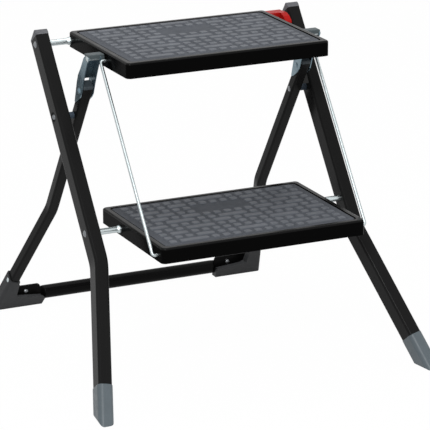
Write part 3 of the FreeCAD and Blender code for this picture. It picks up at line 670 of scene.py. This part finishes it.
# %% [markdown]
# Both mats
#
# A mat is moulded in one, so the sheet and its lugs become one mesh with two materials: the ground,
# painted darker as shade between the lugs, and the lugs that stand on it. The lugs reach a little
# into the sheet, so no gap shows under them. A Bevel modifier takes the sharpness off every edge, as
# moulded rubber never has one. Each mat rides on its tread and stands for the plain mat among the
# solids.

# %% Build the mats
MAT_INSET = 1.5 * MM
EDGE_SOFTNESS = 0.25 * MM
SOFT_EDGE_ANGLE = math.radians(25)


def join_sheet_and_lugs(sheet, raised):
    """Adds the lugs to the sheet; the sheet keeps material 0 and the lugs take material 1."""
    # The ground takes the darker rubber, painted shade between the lugs.
    sheet.materials.append(mat_ground_painted_shade)
    sheet.materials.append(mat_rubber)
    joined = bmesh.new()
    joined.from_mesh(sheet)
    ground_faces = len(joined.faces)
    joined.from_mesh(raised)
    for number, face in enumerate(joined.faces):
        face.material_index = 0 if number < ground_faces else 1
    joined.to_mesh(sheet)
    joined.free()


def build_mat(node_name, piece_name, body):
    low, high = mat_boxes[node_name]
    sheet_top = high.z - LUG_HEIGHT
    inset = Vector((MAT_INSET, MAT_INSET, 0))
    sheet = rounded_sheet(piece_name, low + inset, Vector((high.x, high.y, sheet_top)) - inset)
    raised = grow_lugs(piece_name, (low + high) / 2, sheet_top - LUG_SUNK)
    join_sheet_and_lugs(sheet, raised)
    mat = plain_object(piece_name, sheet)
    soften = mat.modifiers.new("soft_edges", "BEVEL")
    soften.width = EDGE_SOFTNESS
    soften.segments = 1
    soften.limit_method = "ANGLE"
    soften.angle_limit = SOFT_EDGE_ANGLE
    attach(mat, body)
    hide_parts(node_name)
    print(piece_name, "has", len(sheet.polygons), "faces")


build_mat("platform_mat", "platform_ribbed_mat", "platform")
build_mat("step_mat", "step_ribbed_mat", "lower_step")

# %% [markdown]
# A white surround
#
# The stool stands before pure white. More lamps could burn a grey wall out to white, but they would
# bleach the stool too. So the world is white only for rays from the camera, from mirrors and through
# glass, and gives the stool itself a much weaker even light.

# %% Make the surround
AMBIENT = 0.38


def background_rays(tree):
    """One for rays from the camera, from mirrors and through glass, else zero."""
    rays = tree.nodes.new("ShaderNodeLightPath")
    camera_or_mirror = add_math(tree, "MAXIMUM")
    tree.links.new(rays.outputs["Is Camera Ray"], camera_or_mirror.inputs[0])
    tree.links.new(rays.outputs["Is Glossy Ray"], camera_or_mirror.inputs[1])
    or_glass = add_math(tree, "MAXIMUM")
    tree.links.new(camera_or_mirror.outputs[0], or_glass.inputs[0])
    tree.links.new(rays.outputs["Is Transmission Ray"], or_glass.inputs[1])
    return or_glass.outputs[0]


def make_surround():
    world = bpy.data.worlds.new("white_surround")
    bpy.context.scene.world = world
    world.use_nodes = True
    tree = world.node_tree
    background = tree.nodes["Background"]
    background.inputs["Color"].default_value = (1, 1, 1, 1)
    strength = tree.nodes.new("ShaderNodeMapRange")
    strength.inputs["To Min"].default_value = AMBIENT
    strength.inputs["To Max"].default_value = 1.0
    tree.links.new(background_rays(tree), strength.inputs["Value"])
    tree.links.new(strength.outputs["Result"], background.inputs["Strength"])


make_surround()
print("surround gives the stool", AMBIENT, "of its white")

# %% [markdown]
# Floor
#
# The floor runs on into the white surround, and still has to carry the stool's soft shadow. A pale
# matt floor alone would end in a grey horizon, and a glowing one alone would show no shadow. It is a
# mix of both: mostly glow for the same rays that see the surround, and matt for all other light.

# %% Make the floor
FLOOR_REACH = 40
FLOOR_GREY = 0.86
FLOOR_WHITENESS = 0.985


def floor_material():
    material = bpy.data.materials.new("pale_floor")
    material.use_nodes = True
    tree = material.node_tree
    tree.nodes.remove(tree.nodes["Principled BSDF"])
    pale = tree.nodes.new("ShaderNodeBsdfDiffuse")
    pale.inputs["Color"].default_value = (FLOOR_GREY, FLOOR_GREY, FLOOR_GREY, 1)
    glow = tree.nodes.new("ShaderNodeEmission")
    glow.inputs["Strength"].default_value = 1.0
    share = add_math(tree, "MULTIPLY")
    share.inputs[1].default_value = FLOOR_WHITENESS
    tree.links.new(background_rays(tree), share.inputs[0])
    mix = tree.nodes.new("ShaderNodeMixShader")
    tree.links.new(share.outputs[0], mix.inputs["Fac"])
    tree.links.new(pale.outputs["BSDF"], mix.inputs[1])
    tree.links.new(glow.outputs["Emission"], mix.inputs[2])
    tree.links.new(mix.outputs["Shader"], tree.nodes["Material Output"].inputs["Surface"])
    return material


def make_floor():
    corners = [(-FLOOR_REACH, -FLOOR_REACH, 0), (FLOOR_REACH, -FLOOR_REACH, 0),
               (FLOOR_REACH, FLOOR_REACH, 0), (-FLOOR_REACH, FLOOR_REACH, 0)]
    mesh = bpy.data.meshes.new("floor")
    mesh.from_pydata(corners, [], [(0, 1, 2, 3)])
    floor = plain_object("floor", mesh)
    floor.data.materials.append(floor_material())


make_floor()
print("floor reaches", FLOOR_REACH, "m each way")

# %% [markdown]
# Lamps
#
# A studio lights black paint with large soft lamps, because each lamp is also what the paint mirrors.
# The key lamp stands high on the left in front, a weak one on the right opens the shadows, and a wide
# one above lights the treads. Area lamps give both the soft shadows and the soft mirror images.

# %% Set up the lamps
LAMP_AIM = (0, 0, 0.3)


def softbox(name, place, width, height, watts):
    data = bpy.data.lights.new(name, "AREA")
    data.shape = "RECTANGLE"
    data.size = width
    data.size_y = height
    data.energy = watts
    lamp = bpy.data.objects.new(name, data)
    bpy.context.scene.collection.objects.link(lamp)
    lamp.location = place
    lamp.rotation_mode = "QUATERNION"
    lamp.rotation_quaternion = (Vector(place) - Vector(LAMP_AIM)).to_track_quat("Z", "Y")
    print(name, "at", place, "with", watts, "W")


softbox("key_softbox", place=(-0.95, -2.1, 1.95), width=0.6, height=0.6, watts=46)
softbox("fill_softbox", place=(2.2, -1.6, 1.4), width=1.4, height=1.4, watts=6)
softbox("top_softbox", place=(-0.1, 0.3, 2.6), width=2.0, height=1.2, watts=22)

# %% [markdown]
# Colours as written
#
# Blender can bend the picture's tones like film. A product picture wants its colours as they are, and
# the Standard view leaves them so.

# %% Keep the colours as written
bpy.context.scene.view_settings.view_transform = "Standard"
print("view:", bpy.context.scene.view_settings.view_transform)
